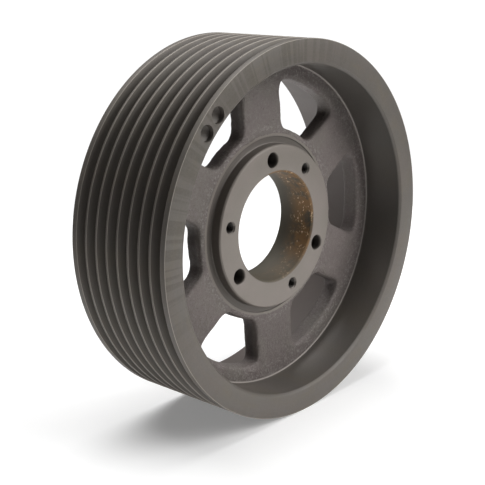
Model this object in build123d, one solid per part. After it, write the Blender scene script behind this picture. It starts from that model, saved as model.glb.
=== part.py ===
from build123d import *
from math import cos, hypot, radians, sin, tan
import os

os.makedirs("parts", exist_ok=True)

# A V-belt pulley for eight narrow belts: one grey-iron casting with machined grooves, front rim
# bore and hub. It is modelled as the regions of that casting, which meet face to face.
# Millimetres. The wheel's axis is Y, through the origin. The front, where the hub's bolt circle
# is, faces -Y, and the origin is midway between the two end faces of the rim.

# Rim and its belt grooves
OUTSIDE_DIAMETER = 269.24
GROOVE_COUNT = 8
GROOVE_PITCH = 10.319
EDGE_TO_GROOVE = 8.731  # end face to the middle of the first groove
GROOVE_TOP_WIDTH = 8.89
GROOVE_DEPTH = 8.64
GROOVE_ANGLE = 40.0  # between a groove's two walls, in degrees
LAND_CHAMFER = 0.25
RIM_WALL = 8.9  # under the grooves, at the machined front bore
RIM_CHAMFER = 1.8  # on the front bore's mouth
REAR_WALL_AT_WEB = 7.4  # under the grooves, at the web
REAR_WALL_AT_FACE = 4.4  # the same at the rear face, thinner by the pattern's draft

# Balance holes, drilled in the rim's front face
BALANCE_HOLE_DIAMETER = 11.1
BALANCE_HOLE_DEPTH = 3.6  # to the shoulder of the drill's cone
DRILL_POINT_ANGLE = 118.0
BALANCE_CIRCLE_INSET = 9.0  # from the outside of the rim
BALANCE_ANGLES = (131.3, 137.9)

# Web: a disc with six windows, which leave six arms
WEB_THICKNESS = 15.0
WEB_REAR_Y = 2.7
ARM_COUNT = 6
ARM_PHASE = 93.0  # direction of the first arm, in degrees from +X towards +Z
ARM_WIDTH = 40.0
OUTER_RING_WIDTH = 12.0  # from the windows to the machined front bore
INNER_RING_WIDTH = 11.0  # from the hub's outside to the windows
WINDOW_CORNER_RADIUS = 7.0  # less where a window is too low for two of them
WINDOW_EDGE_RADIUS = 2.5  # cast rounding on both faces
WEB_SPLIT_MARGIN = 0.5  # past the windows' rounding, where the arms meet the two rings
FRONT_CORNER_RADIUS = 1.5  # between the web and the machined front bore
REAR_RIM_FILLET = 6.0  # between the web and the rim's cast inside
REAR_HUB_FILLET = 4.0  # between the web and the hub's rear boss

# Hub, a turned boss on both sides of the web
HUB_DIAMETER = 119.0
HUB_LENGTH = 30.4
HUB_FRONT_Y = -19.9
HUB_CHAMFER = 1.0
RELIEF_WIDTH = 5.0  # turned ring around the hub's front boss
RELIEF_DEPTH = 0.6
BORE_LARGE_DIAMETER = 79.38  # taper at the hub's front face
BORE_TAPER = 0.0625  # on the diameter, per unit of length
BORE_CHAMFER = 1.3
BORE_LAND_LENGTH = 6.0  # straight stretch at the small end

# Bolt circle of the tapered bushing that the hub takes
BOLT_CIRCLE_DIAMETER = 98.425
CLEARANCE_HOLE_DIAMETER = 11.1
TAPPED_HOLE_DIAMETER = 7.94  # tap drill of a 3/8-16 thread
TAPPED_HOLE_CHAMFER = 0.8
BOLT_COUNT = 3
CLEARANCE_PHASE = 93.9
TAPPED_OFFSET = -45.0  # from the clearance holes

outside_radius = OUTSIDE_DIAMETER / 2
face_width = (GROOVE_COUNT - 1) * GROOVE_PITCH + 2 * EDGE_TO_GROOVE
front_y = -face_width / 2
rear_y = face_width / 2
root_radius = outside_radius - GROOVE_DEPTH
flank_slope = tan(radians(GROOVE_ANGLE / 2))
groove_centres = [front_y + EDGE_TO_GROOVE + i * GROOVE_PITCH for i in range(GROOVE_COUNT)]

front_bore_radius = root_radius - RIM_WALL
rear_radius_at_web = root_radius - REAR_WALL_AT_WEB
rear_radius_at_face = root_radius - REAR_WALL_AT_FACE
web_front_y = WEB_REAR_Y - WEB_THICKNESS
hub_radius = HUB_DIAMETER / 2
hub_rear_y = HUB_FRONT_Y + HUB_LENGTH
window_inner_radius = hub_radius + INNER_RING_WIDTH
window_outer_radius = front_bore_radius - OUTER_RING_WIDTH
window_corner_radius = min(WINDOW_CORNER_RADIUS, 0.4 * (window_outer_radius - window_inner_radius))
inner_split = window_inner_radius - WINDOW_EDGE_RADIUS - WEB_SPLIT_MARGIN
outer_split = window_outer_radius + WINDOW_EDGE_RADIUS + WEB_SPLIT_MARGIN
bolt_circle_radius = BOLT_CIRCLE_DIAMETER / 2

FRONTWARD = Axis((0, 0, 0), (0, -1, 0))  # a turn about it goes from +X towards +Z


def polar(radius, angle):
    return radius * cos(radians(angle)), radius * sin(radians(angle))


def turned(edges, arc=360):
    """A turn about the wheel's axis of a closed outline, drawn with X as the radius."""
    return revolve(make_face(edges), FRONTWARD, arc)


def at_angle(shape, angle):
    """The shape turned about the wheel's axis, from +X towards +Z."""
    return Rot(0, -angle, 0) * shape


def concave_arc(start, end, centre):
    """A quarter turn, drawn about a centre, between two ends."""
    radius = abs(start[0] - centre[0]) + abs(start[1] - centre[1])
    toward = Vector(start[0] + end[0] - 2 * centre[0], start[1] + end[1] - 2 * centre[1])
    middle = Vector(*centre) + toward.normalized() * radius
    return ThreePointArc(start, (middle.X, middle.Y), end)


def round_hole(radius, angle, y_from, y_to):
    """A cutter for a plain hole on the bolt circle."""
    x, z = polar(bolt_circle_radius, angle)
    outline = Polyline((0, y_from), (radius, y_from), (radius, y_to), (0, y_to), close=True)
    return Pos(x, 0, z) * turned(outline)


def countersink(radius, angle):
    """A cutter for the 45-degree chamfer on a tapped hole's mouth."""
    x, z = polar(bolt_circle_radius, angle)
    wide = radius + TAPPED_HOLE_CHAMFER
    outline = Polyline((0, HUB_FRONT_Y), (wide, HUB_FRONT_Y), (0, HUB_FRONT_Y + wide), close=True)
    return Pos(x, 0, z) * turned(outline)


def balance_holes():
    """Cutters for the two drillings in the rim's front face, with the cone of the drill's point."""
    radius = BALANCE_HOLE_DIAMETER / 2
    shoulder = front_y + BALANCE_HOLE_DEPTH
    point = shoulder + radius / tan(radians(DRILL_POINT_ANGLE / 2))
    outline = Polyline((0, front_y - 1), (radius, front_y - 1), (radius, shoulder), (0, point), close=True)
    cutters = []
    for angle in BALANCE_ANGLES:
        x, z = polar(outside_radius - BALANCE_CIRCLE_INSET, angle)
        cutters.append(Pos(x, 0, z) * turned(outline))
    return cutters


def rim_tube():
    """The rim's wall under the grooves: machined inside at the front, cast and drafted behind the web."""
    outline = Polyline(
        (root_radius, front_y),
        (root_radius, rear_y),
        (rear_radius_at_face, rear_y),
        (rear_radius_at_web, WEB_REAR_Y),
        (front_bore_radius, WEB_REAR_Y),
        (front_bore_radius, front_y + RIM_CHAMFER),
        (front_bore_radius + RIM_CHAMFER, front_y),
        close=True,
    )
    return turned(outline) - balance_holes()


def rim_land(index):
    """The material between two grooves, or between an end face and the groove beside it."""
    starts = [front_y] + [y + GROOVE_TOP_WIDTH / 2 for y in groove_centres]
    ends = [y - GROOVE_TOP_WIDTH / 2 for y in groove_centres] + [rear_y]
    lean = GROOVE_DEPTH * flank_slope
    top_start, top_end = starts[index], ends[index]
    root_start = top_start - (lean if index > 0 else 0)
    root_end = top_end + (lean if index < GROOVE_COUNT else 0)
    slip = LAND_CHAMFER * flank_slope
    outline = Polyline(
        (root_radius, root_start),
        (outside_radius - LAND_CHAMFER, top_start - (slip if index > 0 else 0)),
        (outside_radius, top_start + LAND_CHAMFER),
        (outside_radius, top_end - LAND_CHAMFER),
        (outside_radius - LAND_CHAMFER, top_end + (slip if index < GROOVE_COUNT else 0)),
        (root_radius, root_end),
        close=True,
    )
    land = turned(outline)
    return land - balance_holes() if index == 0 else land


def web_outer_ring():
    """The web outside the windows, with the corners where it runs into the rim."""
    front, rear = FRONT_CORNER_RADIUS, REAR_RIM_FILLET
    draft = (rear_radius_at_face - rear_radius_at_web) / (rear_y - WEB_REAR_Y)
    wall = rear_radius_at_web + draft * rear
    bore = front_bore_radius
    outline = [
        Line((outer_split, web_front_y), (bore - front, web_front_y)),
        concave_arc((bore - front, web_front_y), (bore, web_front_y - front), (bore - front, web_front_y - front)),
        Polyline((bore, web_front_y - front), (bore, WEB_REAR_Y), (rear_radius_at_web, WEB_REAR_Y)),
        Line((rear_radius_at_web, WEB_REAR_Y), (wall, WEB_REAR_Y + rear)),
        concave_arc((wall, WEB_REAR_Y + rear), (wall - rear, WEB_REAR_Y), (wall - rear, WEB_REAR_Y + rear)),
        Polyline((wall - rear, WEB_REAR_Y), (outer_split, WEB_REAR_Y), (outer_split, web_front_y)),
    ]
    return turned(outline)


def windows():
    """Cutters for the windows: parts of a ring, with the straight sides of the arms and round corners."""
    plane = Plane(origin=(0, WEB_REAR_Y + 1, 0), x_dir=(1, 0, 0), z_dir=(0, -1, 0))
    openings = Circle(window_outer_radius) - Circle(window_inner_radius)
    for k in range(ARM_COUNT):
        strip = Rectangle(window_outer_radius + 1, ARM_WIDTH, align=(Align.MIN, Align.CENTER))
        openings -= Rot(0, 0, ARM_PHASE + k * 360 / ARM_COUNT) * strip
    openings = fillet(openings.vertices(), window_corner_radius)
    return extrude(plane * openings, WEB_THICKNESS + 2)


def web_arm():
    """The first arm, from the middle of one window to the middle of the next, with cast rounding."""
    sector = 360 / ARM_COUNT
    outline = Polyline(
        (inner_split, web_front_y),
        (outer_split, web_front_y),
        (outer_split, WEB_REAR_Y),
        (inner_split, WEB_REAR_Y),
        close=True,
    )
    arm = at_angle(turned(outline, sector), ARM_PHASE - sector / 2) - windows()
    rounded = [
        edge
        for edge in arm.edges()
        if abs((edge @ 0).Y - (edge @ 1).Y) < 0.001
        and min(abs((edge @ 0.5).Y - y) for y in (web_front_y, WEB_REAR_Y)) < 0.001
        and window_inner_radius - 0.01 < hypot((edge @ 0.5).X, (edge @ 0.5).Z) < window_outer_radius + 0.01
    ]
    return fillet(rounded, WINDOW_EDGE_RADIUS)


def web_inner_ring():
    """The web inside the windows, with the turned ring around the hub and the rear fillet."""
    relief_y = web_front_y + RELIEF_DEPTH
    rear = REAR_HUB_FILLET
    outline = [
        Polyline(
            (hub_radius, relief_y),
            (hub_radius + RELIEF_WIDTH, relief_y),
            (hub_radius + RELIEF_WIDTH, web_front_y),
            (inner_split, web_front_y),
            (inner_split, WEB_REAR_Y),
            (hub_radius + rear, WEB_REAR_Y),
        ),
        concave_arc(
            (hub_radius + rear, WEB_REAR_Y),
            (hub_radius, WEB_REAR_Y + rear),
            (hub_radius + rear, WEB_REAR_Y + rear),
        ),
        Line((hub_radius, WEB_REAR_Y + rear), (hub_radius, relief_y)),
    ]
    return turned(outline)


def hub():
    """The turned boss, with its tapered bore, clearance holes and tapped holes."""
    large = BORE_LARGE_DIAMETER / 2
    land_start = hub_rear_y - BORE_LAND_LENGTH
    small = large - (land_start - HUB_FRONT_Y) * BORE_TAPER / 2
    mouth = large - BORE_CHAMFER * BORE_TAPER / 2
    outline = Polyline(
        (mouth + BORE_CHAMFER, HUB_FRONT_Y),
        (hub_radius - HUB_CHAMFER, HUB_FRONT_Y),
        (hub_radius, HUB_FRONT_Y + HUB_CHAMFER),
        (hub_radius, hub_rear_y - HUB_CHAMFER),
        (hub_radius - HUB_CHAMFER, hub_rear_y),
        (small, hub_rear_y),
        (small, land_start),
        (mouth, HUB_FRONT_Y + BORE_CHAMFER),
        close=True,
    )
    body = turned(outline)
    front, rear = HUB_FRONT_Y - 1, hub_rear_y + 1
    tapped = TAPPED_HOLE_DIAMETER / 2
    for k in range(BOLT_COUNT):
        angle = CLEARANCE_PHASE + k * 360 / BOLT_COUNT
        body -= round_hole(CLEARANCE_HOLE_DIAMETER / 2, angle, front, rear)
        body -= round_hole(tapped, angle + TAPPED_OFFSET, front, rear)
        body -= countersink(tapped, angle + TAPPED_OFFSET)
    return body


parts = {
    "rim_tube": rim_tube(),
    "web_outer_ring": web_outer_ring(),
    "web_inner_ring": web_inner_ring(),
    "hub": hub(),
}
for index in range(GROOVE_COUNT + 1):
    parts[f"rim_land_{index + 1}"] = rim_land(index)
first_arm = web_arm()
for index in range(ARM_COUNT):
    parts[f"web_arm_{index + 1}"] = at_angle(first_arm, index * 360 / ARM_COUNT)

for name, shape in parts.items():
    export_step(shape, f"parts/{name}.step")
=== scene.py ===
from math import asin, cos, pi, radians, sin, tan

import bmesh
import bpy
from mathutils import Matrix, Vector, noise


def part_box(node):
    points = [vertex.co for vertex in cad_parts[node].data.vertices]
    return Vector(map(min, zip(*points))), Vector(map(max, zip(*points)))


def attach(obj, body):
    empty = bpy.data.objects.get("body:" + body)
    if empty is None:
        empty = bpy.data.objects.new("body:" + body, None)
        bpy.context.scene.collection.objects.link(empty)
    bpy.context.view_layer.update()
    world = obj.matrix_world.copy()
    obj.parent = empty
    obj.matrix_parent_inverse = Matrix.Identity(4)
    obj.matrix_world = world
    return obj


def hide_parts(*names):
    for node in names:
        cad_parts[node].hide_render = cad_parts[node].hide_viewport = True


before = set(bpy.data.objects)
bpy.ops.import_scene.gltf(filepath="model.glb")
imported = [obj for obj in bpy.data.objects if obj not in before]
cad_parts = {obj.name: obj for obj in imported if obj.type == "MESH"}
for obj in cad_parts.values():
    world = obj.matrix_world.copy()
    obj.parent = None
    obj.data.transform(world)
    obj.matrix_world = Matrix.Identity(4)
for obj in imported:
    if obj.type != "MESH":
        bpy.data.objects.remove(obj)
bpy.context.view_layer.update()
scene = bpy.context.scene
scene.view_settings.view_transform = "Standard"

# ---------------------------------------------------------------- camera
# The wheel stands on its rim, seen from its front left and from a little above, with a lens
# about twice as long as a normal one. The rim's front face looks along -Y.
camera = bpy.data.objects.new("camera", bpy.data.cameras.new("camera"))
camera.data.lens = 80.7
camera.data.sensor_width = 36
eye = Vector((-0.5669, -0.5166, 0.2049))
target = Vector((-0.0103, 0.0052, -0.0138))
roll = Matrix.Rotation(radians(-1.48), 3, "Z")
turn = (target - eye).to_track_quat("-Z", "Y").to_matrix() @ roll
camera.matrix_world = Matrix.Translation(eye) @ turn.to_4x4()
scene.collection.objects.link(camera)
scene.camera = camera

# ---------------------------------------------------------------- rim
# The rim is the outside of one grey-iron casting, turned on a lathe: eight V grooves for
# narrow belts, both end faces, and a smooth bore at the front as deep as the web.
# Behind the web its inside is left as cast, with the pattern's draft.
MM = 0.001
tube_low, tube_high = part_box("rim_tube")
lands = [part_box(f"rim_land_{i + 1}") for i in range(9)]
web_low, web_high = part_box("web_arm_1")
outside = lands[0][1].x
groove_root = tube_high.x
front_y, rear_y = tube_low.y, tube_high.y
web_front, web_rear = web_low.y, web_high.y
flank_angle = radians(20)
groove_lean = (outside - groove_root) * tan(flank_angle)
front_bore = groove_root - 8.9 * MM
bore_chamfer = 1.8 * MM
shoulder_bore, shoulder_y = front_bore - 1.3 * MM, web_front - 0.25 * MM
cast_wall, cast_draft = 7.4 * MM, 3.0 * MM


def wire(points, closed=True):
    """A bmesh with one outline through these points."""
    mesh = bmesh.new()
    corners = [mesh.verts.new(point) for point in points]
    following = corners[1:] + corners[:1] if closed else corners[1:]
    for first, second in zip(corners, following):
        mesh.edges.new((first, second))
    mesh.verts.ensure_lookup_table()
    return mesh


def profile(points, closed=True):
    """An outline of (radius, y) points, for turning about the wheel's axis."""
    return wire([(radius, y, 0) for radius, y in points], closed)


def ease(mesh, corners, width, segments=3):
    """Round these corners of an outline."""
    bmesh.ops.bevel(
        mesh, geom=corners, offset=width, segments=segments, profile=0.5,
        affect="VERTICES", material=-1,
    )


def turn_outline(mesh, steps):
    """Turn an outline into a closed ring about the wheel's axis."""
    bmesh.ops.spin(
        mesh, geom=mesh.verts[:] + mesh.edges[:], cent=(0, 0, 0), axis=(0, 1, 0),
        angle=2 * pi, steps=steps, use_merge=True,
    )
    bmesh.ops.recalc_face_normals(mesh, faces=mesh.faces)


def turned_cutter(points):
    """A solid turned about the axis, whose outline starts and ends on the axis."""
    mesh = profile(points)
    turn_outline(mesh, 48)
    bmesh.ops.remove_doubles(mesh, verts=mesh.verts, dist=MM / 100)
    return mesh


def shade(mesh, sharp):
    """Smooth shading, except at edges sharper than an angle in degrees."""
    for face in mesh.faces:
        face.smooth = True
    for edge in mesh.edges:
        edge.smooth = edge.calc_face_angle(pi) < radians(sharp)


def piece_from(name, mesh):
    """An object in the scene from a bmesh."""
    shade(mesh, 28)
    data = bpy.data.meshes.new(name)
    mesh.to_mesh(data)
    mesh.free()
    piece = bpy.data.objects.new(name, data)
    scene.collection.objects.link(piece)
    return piece


def apply_modifiers(piece, sharp=28):
    """Make a piece's modifiers part of its mesh, and mark its sharp edges again."""
    evaluated = piece.evaluated_get(bpy.context.evaluated_depsgraph_get())
    mesh = bmesh.new()
    mesh.from_mesh(bpy.data.meshes.new_from_object(evaluated))
    shade(mesh, sharp)
    piece.modifiers.clear()
    mesh.to_mesh(piece.data)
    mesh.free()


def cut(piece, mesh):
    """Take the shape of a bmesh out of a piece."""
    cutter = piece_from("cutter", mesh)
    difference = piece.modifiers.new("cut", "BOOLEAN")
    difference.operation = "DIFFERENCE"
    difference.solver = "EXACT"
    difference.object = cutter
    apply_modifiers(piece)
    bpy.data.objects.remove(cutter)


def drill(piece, mesh, circle, degrees):
    """Move a cutter from the axis to its place on a circle, and take it out of a piece."""
    place = Vector((cos(radians(degrees)), 0, sin(radians(degrees)))) * circle
    bmesh.ops.translate(mesh, verts=mesh.verts, vec=place)
    cut(piece, mesh)


outline = [(outside, lands[0][0].y)]
for (_, high), (low, _) in zip(lands, lands[1:]):
    outline += [
        (outside, high.y - groove_lean), (groove_root, high.y),
        (groove_root, low.y), (outside, low.y + groove_lean),
    ]
outline.append((outside, lands[-1][1].y))
grooved_corners = len(outline)
outline += [
    (groove_root - (cast_wall - cast_draft), rear_y),
    (groove_root - cast_wall, web_rear),
    (front_bore + 1.0 * MM, web_rear - 2.0 * MM),
    (shoulder_bore, web_front + 2.0 * MM),
    (shoulder_bore, shoulder_y),
    (front_bore, shoulder_y),
    (front_bore, front_y + bore_chamfer),
    (front_bore + bore_chamfer, front_y),
]
rim_mesh = profile(outline)
corners = rim_mesh.verts[:]
tops = [v for v in corners[:grooved_corners] if v.co.x > outside - MM / 10]
roots = [v for v in corners[:grooved_corners] if v.co.x < groove_root + MM / 10]
rear_edge, shoulder = corners[grooved_corners], corners[-3]
ease(rim_mesh, [shoulder], width=0.9 * MM, segments=4)
ease(rim_mesh, [rear_edge, corners[-1], corners[-2]], width=0.25 * MM, segments=2)
ease(rim_mesh, tops, width=0.3 * MM)
ease(rim_mesh, roots, width=0.5 * MM)
turn_outline(rim_mesh, 360)
rim = piece_from("grooved_rim", rim_mesh)

balance_radius, balance_wall = 5.55 * MM, 3.6 * MM
balance_circle = outside - 9.0 * MM
drill_half_angle = radians(59)
drill_tip = front_y + balance_wall + balance_radius / tan(drill_half_angle)
for degrees in (131.3, 137.9):
    balance_drill = turned_cutter([
        (0, front_y - 2 * MM), (balance_radius + 1.6 * MM, front_y - 2 * MM),
        (balance_radius + 0.1 * MM, front_y + 0.1 * MM), (balance_radius, front_y + 0.5 * MM),
        (balance_radius, front_y + balance_wall), (0, drill_tip),
    ])
    drill(rim, balance_drill, balance_circle, degrees)


class Amount:
    """A number that varies over a surface. Python's operators add Math nodes to its finish."""

    def __init__(self, finish, socket):
        self.finish, self.socket = finish, socket

    def maths(self, operation, *values):
        return self.finish.node("ShaderNodeMath", {"operation": operation}, values)

    def __add__(self, other):
        return self.maths("ADD", self, other)

    def __radd__(self, other):
        return self.maths("ADD", other, self)

    def __sub__(self, other):
        return self.maths("SUBTRACT", self, other)

    def __rsub__(self, other):
        return self.maths("SUBTRACT", other, self)

    def __mul__(self, other):
        return self.maths("MULTIPLY", self, other)

    def __rmul__(self, other):
        return self.maths("MULTIPLY", other, self)

    def __truediv__(self, other):
        return self.maths("DIVIDE", self, other)

    def __pow__(self, other):
        return self.maths("POWER", self, other)

    def between(self, low, high):
        """0 below low, 1 above high, and smooth between them. Swapped limits fall instead."""
        limits = {"Value": self, "From Min": low, "From Max": high}
        return self.finish.node("ShaderNodeMapRange", {"interpolation_type": "SMOOTHSTEP"}, limits)

    def band(self, one_side, other_side):
        """1 inside a band. Each side gives where it is still 0 and where it has become 1."""
        return self.between(*one_side) * self.between(*other_side)


class Finish:
    """A material, with one way of adding a node to it."""

    def __init__(self, name):
        self.material = bpy.data.materials.new(name)
        self.material.use_nodes = True
        self.tree = self.material.node_tree
        self.shader = self.tree.nodes["Principled BSDF"]
        self.place = self.node("ShaderNodeTexCoord", {}, {}, "Object")
        split = self.node("ShaderNodeSeparateXYZ", {}, [self.place], None)
        self.x, self.y, self.z = (Amount(self, split.outputs[axis]) for axis in "XYZ")
        self.radius = (self.x * self.x + self.z * self.z) ** 0.5

    def node(self, kind, settings, inputs, output=0):
        """Add a node, set it up, fill its sockets by name or number, and give one output."""
        made = self.tree.nodes.new(kind)
        for key, value in settings.items():
            setattr(made, key, value)
        pairs = inputs.items() if isinstance(inputs, dict) else enumerate(inputs)
        for key, value in pairs:
            if isinstance(value, Amount):
                self.tree.links.new(value.socket, made.inputs[key])
            else:
                made.inputs[key].default_value = value
        return made if output is None else Amount(self, made.outputs[output])

    def noise(self, scale, detail, rough, where=None):
        inputs = {"Vector": where or self.place, "Scale": scale, "Detail": detail, "Roughness": rough}
        return self.node("ShaderNodeTexNoise", {}, inputs)

    def vector(self, x, y, z):
        return self.node("ShaderNodeCombineXYZ", {}, [x, y, z])

    def tool_marks(self):
        """The fine rings that a lathe's tool leaves about the axis."""
        fineness, wander = 2600, 6
        rings = self.vector(self.radius * fineness, self.y * fineness, self.x * wander)
        return self.noise(1.0, 3, 0.7, rings)

    def mix(self, amount, first, second):
        return self.node("ShaderNodeMix", {"data_type": "RGBA"}, {0: amount, 6: first, 7: second}, 2)

    def bump(self, height, distance, strength):
        return self.node(
            "ShaderNodeBump", {}, {"Height": height, "Distance": distance, "Strength": strength},
        )

    def finished(self, piece, slot, **sockets):
        """Connect what varies, set what doesn't, and give the piece this material. The slot is not
        used.
        """
        for key, value in sockets.items():
            socket = self.shader.inputs[key.replace("_", " ")]
            if isinstance(value, Amount):
                self.tree.links.new(value.socket, socket)
            else:
                socket.default_value = value
        piece.data.materials.clear()
        piece.data.materials.append(self.material)


def iron(red, green, blue):
    return (red, green, blue, 1)


lathe = Finish("turned rim iron")
turn_x, turn_z = lathe.x / lathe.radius, lathe.z / lathe.radius
rings = lathe.tool_marks()
streaks = lathe.noise(2.2, 4, 0.6, lathe.vector(turn_x * 3, lathe.radius * 60, turn_z * 3))
chatter = lathe.noise(26, 2, 0.5, lathe.vector(turn_x, lathe.radius * 0.3, turn_z))
patches = lathe.noise(26, 3, 0.55)
grain = lathe.noise(900, 2, 0.6)
stain = (streaks * 0.6 + patches * 0.4).between(0.42, 0.62)
glints = (grain * 0.5 + rings * 0.5).between(0.35, 0.7)

on_face = lathe.y.between(front_y + 0.6 * MM, front_y + 0.1 * MM)
upper_left = (lathe.z - lathe.x).between(40 * MM, 150 * MM)
marked = chatter.between(0.46, 0.56) * on_face * (upper_left * 0.8 + 0.1)

between_faces = lathe.y.band(
    (front_y + 5.2 * MM, front_y + 6.2 * MM), (rear_y - 0.5 * MM, rear_y - 1.2 * MM),
)
# Painted shade: the grooves are darkened between the two end faces, where their flanks lie in shadow.
groove_shade = lathe.radius.band(
    (outside - 0.4 * MM, outside - 3.0 * MM), (groove_root - 1.0 * MM, groove_root - 0.2 * MM),
)
# Painted highlight: a thin bright line along each land's rounded edge.
land_edge_highlight = lathe.radius.band(
    (outside - 0.6 * MM, outside - 0.2 * MM), (outside, outside - 0.12 * MM),
)

# Painted shade: the front bore's wall in front of the web is darkened, most towards its top.
before_web = lathe.y.between(web_front, web_front - 1 * MM)
bore_wall = lathe.radius.between(front_bore + 0.6 * MM, front_bore + 0.2 * MM)
bore_shade_by_height = 0.35 + 0.65 * lathe.z.between(-90 * MM, -20 * MM)
front_bore_shade = before_web * bore_wall * bore_shade_by_height
# Painted highlight: a thin bright line on the shoulder where the front bore steps in to the web.
shoulder_highlight = lathe.radius.between(front_bore - 0.1 * MM, front_bore - 0.5 * MM)

behind_web = lathe.y.between(web_front + 1 * MM, web_rear)
inner_wall = lathe.radius.between(groove_root - 4.2 * MM, groove_root - 4.5 * MM)

tone = lathe.mix(stain, iron(0.110, 0.099, 0.087), iron(0.122, 0.106, 0.084))
tone = lathe.mix(patches.between(0.40, 0.62) * 0.5, tone, iron(0.118, 0.102, 0.095))
tone = lathe.mix(marked * 0.62, tone, iron(0.070, 0.062, 0.047))
tone = lathe.mix(glints * 0.3, tone, iron(0.165, 0.148, 0.132))
tone = lathe.mix(groove_shade * between_faces * 0.45, tone, iron(0.055, 0.048, 0.040))
tone = lathe.mix(front_bore_shade * 0.45, tone, iron(0.052, 0.048, 0.043))
tone = lathe.mix(land_edge_highlight * 0.75, tone, iron(0.37, 0.335, 0.295))
tone = lathe.mix(shoulder_highlight * 0.8, tone, iron(0.36, 0.325, 0.30))
tone = lathe.mix(behind_web * inner_wall, tone, iron(0.150, 0.128, 0.118))
lathe.finished(
    rim, "machined_rim", Base_Color=tone, Roughness=0.44 + rings * 0.16 + stain * 0.06,
    Metallic=0.22, Normal=lathe.bump(rings * 0.7 + grain * 0.3, 0.00006, 0.7),
)
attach(rim, "root")
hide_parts("rim_tube", *[f"rim_land_{i + 1}" for i in range(9)])

# ---------------------------------------------------------------- web
# The web is the sand-cast disc between the rim and the hub, with six windows that leave six
# wide arms. Its skin keeps the grain of the mould, and the pattern rounds every edge.
hub_low, hub_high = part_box("hub")
hub_radius = hub_high.x
window_inner, window_outer = hub_radius + 11 * MM, front_bore - 12 * MM
arm_half_width = 20 * MM
first_arm, arm_spacing = radians(93), radians(60)
inner_corner, outer_corner = 6 * MM, 7 * MM
relief_outer = hub_radius + 5 * MM
relief_step, relief_floor = relief_outer + 1.2 * MM, web_front + 2.5 * MM
boss_radius, boss_end = hub_radius + 0.4 * MM, hub_high.y - 3 * MM
under_hub, under_rim = hub_radius - 2 * MM, front_bore + 3 * MM
rim_strip_y = web_front - 0.1 * MM
rear_wall, rear_draft = groove_root - cast_wall, cast_draft / (rear_y - web_rear)
rear_end, proud = 10 * MM, 0.3 * MM

web_mesh = profile([
    (under_hub, relief_floor),
    (relief_step, relief_floor),
    (relief_step, web_front),
    (front_bore - 5 * MM, web_front),
    (front_bore - 1.5 * MM, rim_strip_y),
    (under_rim, rim_strip_y),
    (under_rim, web_rear + rear_end),
    (rear_wall + rear_draft * rear_end - proud, web_rear + rear_end),
    (rear_wall - proud, web_rear),
    (boss_radius, web_rear),
    (boss_radius, boss_end),
    (under_hub, boss_end),
])
rim_corner, boss_corner = web_mesh.verts[8], web_mesh.verts[9]
ease(web_mesh, [rim_corner], width=8 * MM, segments=8)
ease(web_mesh, [boss_corner], width=4 * MM, segments=6)
turn_outline(web_mesh, 240)
web = piece_from("cast_web", web_mesh)


def verts_in(geometry):
    """The vertices among what an operator gives back."""
    return [item for item in geometry if isinstance(item, bmesh.types.BMVert)]


def close(mesh):
    """Cap a mesh's open ends, and point its faces outwards."""
    bmesh.ops.holes_fill(mesh, edges=[edge for edge in mesh.edges if edge.is_boundary], sides=0)
    bmesh.ops.recalc_face_normals(mesh, faces=mesh.faces)


core_start, core_end = web_front - 8 * MM, web_rear + 8 * MM
mid_window = (window_inner + window_outer) / 2
inner_half = arm_spacing / 2 - asin(arm_half_width / window_inner)
outer_half = arm_spacing / 2 - asin(arm_half_width / window_outer)
for number in range(6):
    middle = first_arm + (number + 0.5) * arm_spacing
    inner_arc = [(window_inner, middle + share * inner_half) for share in (-1, 0, 1)]
    outer_arc = [(window_outer, middle + share * outer_half) for share in (1, 1 / 3, -1 / 3, -1)]
    core = wire([(far * cos(way), core_start, far * sin(way)) for far, way in inner_arc + outer_arc])
    inner_ends = [core.verts[0], core.verts[2]]
    outer_ends = [core.verts[3], core.verts[6]]
    ease(core, inner_ends, width=inner_corner, segments=8)
    ease(core, outer_ends, width=outer_corner, segments=8)
    chords = []
    for edge in core.edges:
        start, end = (vert.co.xz.length for vert in edge.verts)
        if edge.calc_length() > 4 * MM and abs(start - end) < 2 * MM:
            chords.append(edge)
    on_arcs = bmesh.ops.subdivide_edges(core, edges=chords, cuts=5)["geom_inner"]
    for vert in verts_in(on_arcs):
        reach = vert.co.xz.length
        vert.co.xz *= (window_inner if reach < mid_window else window_outer) / reach
    face = bmesh.ops.contextual_create(core, geom=core.edges[:])["faces"]
    pushed = bmesh.ops.extrude_face_region(core, geom=face)["geom"]
    bmesh.ops.translate(core, verts=verts_in(pushed), vec=(0, core_end - core_start, 0))
    close(core)
    cut(web, core)

skin = web.modifiers.new("skin", "REMESH")
skin.mode = "VOXEL"
skin.voxel_size = 1.1 * MM
apply_modifiers(web, sharp=180)

smoothing_rounds = 22
sand_bumps = ((0.30, 17), (0.16, 6), (0.20, 2.6))  # height and spacing in millimetres
sand_mesh = bmesh.new()
sand_mesh.from_mesh(web.data)
as_cast = [
    vert for vert in sand_mesh.verts
    if vert.co.y > web_front + 2 * MM or relief_outer + 3 * MM < vert.co.xz.length < front_bore - 3 * MM
]
for _ in range(smoothing_rounds):
    bmesh.ops.smooth_vert(
        sand_mesh, verts=as_cast, factor=0.5, use_axis_x=True, use_axis_y=True, use_axis_z=True,
    )
sand_mesh.normal_update()
for vert in sand_mesh.verts:
    to_rim = (front_bore - 1.5 * MM - vert.co.xz.length) / (2 * MM)
    shown = 1 if vert.co.y > web_front + 1 * MM else min(max(to_rim, 0), 1)
    lift = sum(height * noise.noise(vert.co / (apart * MM)) for height, apart in sand_bumps)
    vert.co += vert.normal * lift * MM * shown
sand_mesh.to_mesh(web.data)
sand_mesh.free()

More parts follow.
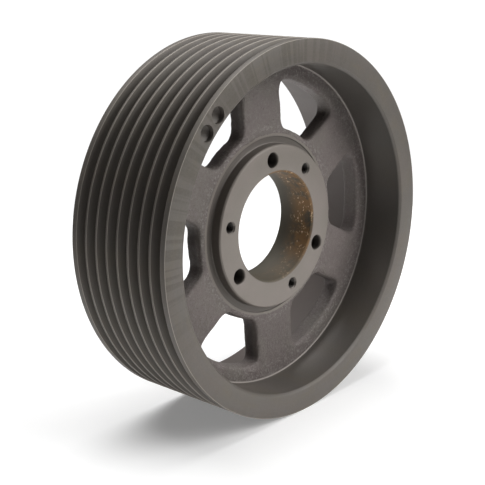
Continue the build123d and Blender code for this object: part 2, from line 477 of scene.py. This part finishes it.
cast = Finish("sand-cast iron")
scale = cast.noise(34, 3, 0.6)
speckle = cast.noise(620, 4, 0.7)
pits = cast.noise(900, 2, 0.7).between(0.60, 0.74)
cloud = cast.noise(15, 3, 0.5).between(0.40, 0.62)
# Painted glints: light specks on the front of the web near the hub and the rim, and on the windows'
# rounded edges there.
at_hub = cast.radius.between(window_inner + 5 * MM, window_inner - 1 * MM)
at_rim = cast.radius.between(window_outer - 3 * MM, window_outer + 3 * MM)
edge_glint_zone = (at_hub + at_rim) * cast.y.between(web_front + 7 * MM, web_front + 2 * MM)
# Painted shade: the windows' walls are darkened below their rounded front edges, away from the rim and
# the hub.
window_wall_shade = cast.y.band(
    (web_front + 3 * MM, web_front + 7 * MM), (web_rear, web_rear - 4 * MM),
)
off_rim_and_hub = cast.radius.band(
    (window_outer - 2 * MM, window_outer - 6 * MM), (hub_radius + 3 * MM, hub_radius + 5 * MM),
)
skin_tone = cast.mix(cloud, iron(0.136, 0.115, 0.107), iron(0.156, 0.130, 0.122))
skin_tone = cast.mix(scale.between(0.42, 0.66) * 0.5, skin_tone, iron(0.150, 0.138, 0.118))
skin_tone = cast.mix(speckle.between(0.46, 0.72) * 0.30, skin_tone, iron(0.26, 0.235, 0.225))
skin_tone = cast.mix(speckle.between(0.50, 0.64) * edge_glint_zone * 0.35, skin_tone, iron(0.34, 0.315, 0.30))
skin_tone = cast.mix(window_wall_shade * off_rim_and_hub * 0.62, skin_tone, iron(0.042, 0.033, 0.029))
skin_tone = cast.mix(pits * 0.45, skin_tone, iron(0.050, 0.040, 0.036))
cast.finished(
    web, "cast_web", Base_Color=skin_tone, Roughness=0.50 + scale * 0.16 + pits * 0.2,
    Metallic=0.2, Normal=cast.bump(speckle * 0.8 - pits * 0.5, 0.0010, 0.9),
)
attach(web, "root")
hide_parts("web_outer_ring", "web_inner_ring", *[f"web_arm_{i + 1}" for i in range(6)])

# ---------------------------------------------------------------- hub
# The hub is a boss turned bright on the same lathe, with a bore that tapers to the rear for a
# split bushing. Three plain holes take the bushing's screws, and three tapped ones push it off.
hub_front, hub_rear = hub_low.y, hub_high.y
relief_y = web_front + 0.6 * MM
bore_mouth, mouth_chamfer = 39.65 * MM, 1.3 * MM
bore_taper = 0.03125
land_start = hub_rear - 6 * MM
bore_small = bore_mouth - (land_start - hub_front - mouth_chamfer) * bore_taper
in_web = hub_radius - 1.5 * MM

hub_mesh = profile([
    (bore_mouth + mouth_chamfer, hub_front),
    (hub_radius - 1 * MM, hub_front),
    (hub_radius, hub_front + 1 * MM),
    (hub_radius, relief_y),
    (relief_outer, relief_y),
    (relief_outer, web_front - 0.05 * MM),
    (relief_outer + 2.2 * MM, web_front - 0.02 * MM),
    (relief_outer + 2.6 * MM, web_front + 1.5 * MM),
    (in_web, web_front + 4 * MM),
    (in_web, boss_end - 1 * MM),
    (hub_radius, boss_end - 1 * MM),
    (hub_radius, hub_rear - 1 * MM),
    (hub_radius - 1 * MM, hub_rear),
    (bore_small, hub_rear),
    (bore_small, land_start),
    (bore_mouth, hub_front + mouth_chamfer),
])
turned_corners = [hub_mesh.verts[i] for i in (0, 1, 2, 11, 12, 13, 15)]
tool_corner, lip = hub_mesh.verts[3], hub_mesh.verts[5]
ease(hub_mesh, [tool_corner], width=0.8 * MM, segments=4)
ease(hub_mesh, [lip], width=0.2 * MM, segments=2)
ease(hub_mesh, turned_corners, width=0.2 * MM, segments=2)
turn_outline(hub_mesh, 240)
hub = piece_from("bored_hub", hub_mesh)

bolt_circle = 49.2125 * MM
first_plain, first_tapped, hole_spacing = 93.9, 93.9 - 45, 120
clearance_radius, tapped_radius, thread_radius = 5.55 * MM, 3.97 * MM, 4.72 * MM
hole_flare, flare_depth = 2.5 * MM, 0.5 * MM
thread_pitch, thread_turns, thread_steps = 1.5875 * MM, 23, 40
thread_start = hub_front - 2 * thread_pitch
sink_radius = thread_radius - 0.1 * MM
sink_height, sink_out = sink_radius + 1.5 * MM, 2 * MM
for number in range(3):
    screw_drill = turned_cutter([
        (0, hub_front - 2 * MM), (clearance_radius + hole_flare, hub_front - 2 * MM),
        (clearance_radius, hub_front + flare_depth), (clearance_radius, hub_rear - flare_depth),
        (clearance_radius + hole_flare, hub_rear + 2 * MM), (0, hub_rear + 2 * MM),
    ])
    drill(hub, screw_drill, bolt_circle, first_plain + hole_spacing * number)

    tapped_at = first_tapped + hole_spacing * number
    flanks = [
        (thread_radius if half % 2 else tapped_radius, thread_start + half * thread_pitch / 2)
        for half in range(2 * thread_turns + 1)
    ]
    tap = profile(flanks, closed=False)
    bmesh.ops.spin(
        tap, geom=tap.verts[:] + tap.edges[:], cent=(0, 0, 0), axis=(0, 1, 0),
        dvec=(0, thread_pitch / thread_steps, 0), angle=-2 * pi, steps=thread_steps,
    )
    bmesh.ops.remove_doubles(tap, verts=tap.verts, dist=MM / 1000)
    close(tap)
    drill(hub, tap, bolt_circle, tapped_at)

    for face_y, outward in ((hub_front, -1), (hub_rear, 1)):
        sink = bmesh.new()
        bmesh.ops.create_cone(
            sink, cap_ends=True, segments=48, radius1=0.5 * MM, radius2=sink_radius + sink_out,
            depth=sink_height,
        )
        upright = Matrix.Rotation(-outward * pi / 2, 3, "X")
        bmesh.ops.rotate(sink, verts=sink.verts, cent=(0, 0, 0), matrix=upright)
        middle = face_y + outward * (sink_out - sink_height / 2)
        bmesh.ops.translate(sink, verts=sink.verts, vec=(0, middle, 0))
        drill(hub, sink, bolt_circle, tapped_at)

boss = Finish("turned hub iron")
boss_rings = boss.tool_marks()
boss_grain = boss.noise(900, 2, 0.6)
boss_glints = (boss_grain * 0.5 + boss_rings * 0.5).between(0.35, 0.7)
boss_cloud = boss.noise(30, 3, 0.5).between(0.4, 0.62)
in_bore = boss.radius.between(bore_mouth + 1.75 * MM, bore_mouth + 0.75 * MM)
boss_tone = boss.mix(boss_cloud, iron(0.204, 0.181, 0.158), iron(0.220, 0.191, 0.171))
boss_tone = boss.mix(boss_glints * 0.25, boss_tone, iron(0.24, 0.22, 0.20))
boss_tone = boss.mix(in_bore, boss_tone, iron(0.100, 0.088, 0.066))

front_half = boss.y.between(hub_front + 25 * MM, hub_front + 9 * MM)
off_bottom = 0.2 + 0.8 * boss.z.between(-36 * MM, -20 * MM)
damp_side = (boss.x + boss.z * 0.4).between(-34 * MM, 4 * MM) * off_bottom
rust = boss.noise(80, 5, 0.7).between(0.34, 0.56) * in_bore * front_half * damp_side
# Painted glints: near-white orange specks within the rust, standing in for its sparkle.
rust_glint_spots = boss.noise(560, 2, 0.6).between(0.57, 0.66)
rust_glint_groups = boss.noise(130, 2, 0.5).between(0.44, 0.58)
boss_tone = boss.mix(rust * 0.8, boss_tone, iron(0.30, 0.165, 0.068))
boss_tone = boss.mix(rust_glint_spots * rust_glint_groups * rust, boss_tone, iron(1.0, 0.74, 0.48))

# Painted shade: the walls of the holes through the hub are darkened away from its two faces.
deep = boss.y.band(
    (hub_front + 0.8 * MM, hub_front + 3 * MM), (hub_rear - 0.8 * MM, hub_rear - 3 * MM),
)
hole_wall_shade = boss.radius.band(
    (bore_mouth + 1.85 * MM, bore_mouth + 2.85 * MM), (hub_radius - 1.2 * MM, hub_radius - 2 * MM),
)
# Painted shade: the hub's side and the turned relief around it are darkened behind the hub's face.
hub_relief_shade = boss.radius.band(
    (hub_radius - 0.4 * MM, hub_radius - 0.1 * MM), (relief_outer + 0.3 * MM, relief_outer - 0.3 * MM),
)
behind_face = boss.y.between(hub_front + 0.8 * MM, hub_front + 2 * MM)
boss_tone = boss.mix(deep * hole_wall_shade * 0.8, boss_tone, iron(0.030, 0.026, 0.022))
boss_tone = boss.mix(hub_relief_shade * behind_face * 0.55, boss_tone, iron(0.06, 0.052, 0.045))
boss.finished(
    hub, "turned_hub", Base_Color=boss_tone, Roughness=0.40 + boss_rings * 0.14 + in_bore * 0.15,
    Metallic=0.3, Normal=boss.bump(boss_rings * 0.7 + boss_grain * 0.3, 0.00005, 0.6),
)
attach(hub, "root")
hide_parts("hub")

# ---------------------------------------------------------------- floor and light
# The wheel stands on a white sheet in a white tent that sheds little light of its own. A wide
# lamp at the front right lights its face, and one above and a little behind lights the lands
# and the inside of the rim's rear.
floor_mesh = bmesh.new()
bmesh.ops.create_circle(floor_mesh, cap_ends=True, segments=96, radius=0.6)
bmesh.ops.translate(floor_mesh, verts=floor_mesh.verts, vec=(0, 0, -outside))
floor = piece_from("floor", floor_mesh)
paper = Finish("white paper")
paper.finished(
    floor, None, Base_Color=(0.9, 0.9, 0.9, 1), Roughness=0.9,
    Emission_Color=(1, 1, 1, 1), Emission_Strength=0.21,
)

world = bpy.data.worlds.new("tent")
scene.world = world
world.use_nodes = True
tent_light, tent_white = 0.035, 1.05
sky = world.node_tree.nodes["Background"]
sky.inputs["Color"].default_value = (1, 1, 1, 1)
seen = world.node_tree.nodes.new("ShaderNodeLightPath").outputs["Is Camera Ray"]
strength = world.node_tree.nodes.new("ShaderNodeMapRange")
strength.inputs["To Min"].default_value = tent_light
strength.inputs["To Max"].default_value = tent_white
world.node_tree.links.new(seen, strength.inputs["Value"])
world.node_tree.links.new(strength.outputs["Result"], sky.inputs["Strength"])


def soft_light(name, place, size, power):
    """A square lamp that looks at the middle of the wheel."""
    lamp = bpy.data.objects.new(name, bpy.data.lights.new(name, "AREA"))
    lamp.data.size = size
    lamp.data.energy = power
    lamp.location = place
    lamp.rotation_euler = Vector(place).to_track_quat("Z", "Y").to_euler()
    scene.collection.objects.link(lamp)


soft_light("key", (0.75, -1.25, 0.85), size=1.3, power=28)
soft_light("top", (0.10, 0.36, 1.5), size=1.6, power=32)
